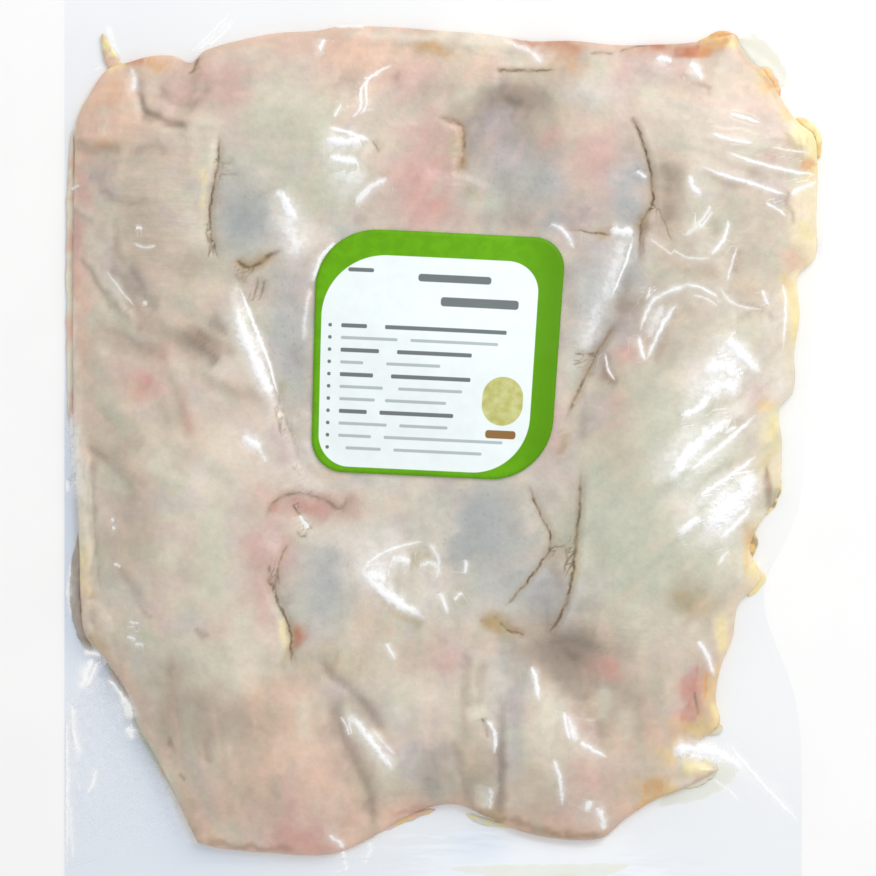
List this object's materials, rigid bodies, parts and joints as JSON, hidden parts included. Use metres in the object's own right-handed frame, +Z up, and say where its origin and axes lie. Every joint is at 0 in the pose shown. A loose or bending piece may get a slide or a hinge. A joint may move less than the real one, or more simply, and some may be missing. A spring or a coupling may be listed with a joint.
{
  "type": "vacuum-packed raw duck",
  "caption": "Whole boned raw duck pressed flat, skin side up, in a clear vacuum pouch with a square label; lies flat on a shelf or counter.",
  "frame": {"origin": "middle of the pouch's flat underside, at the bottom centre of its box", "axes": "+Z up out of the duck's skin, +Y along the pouch's length to the end above the label, +X to the right as the label is read"},
  "size_m": [0.3, 0.4, 0.0206],
  "materials": {
    "film": "clear glossy vacuum film pressed on cream raw duck skin, with fine wrinkles",
    "label_paper": "smooth white label with a green border, slightly satin"
  },
  "bodies": {
    "root": {"sealed_bag": "film", "label": "label_paper"}
  },
  "joints": []
}
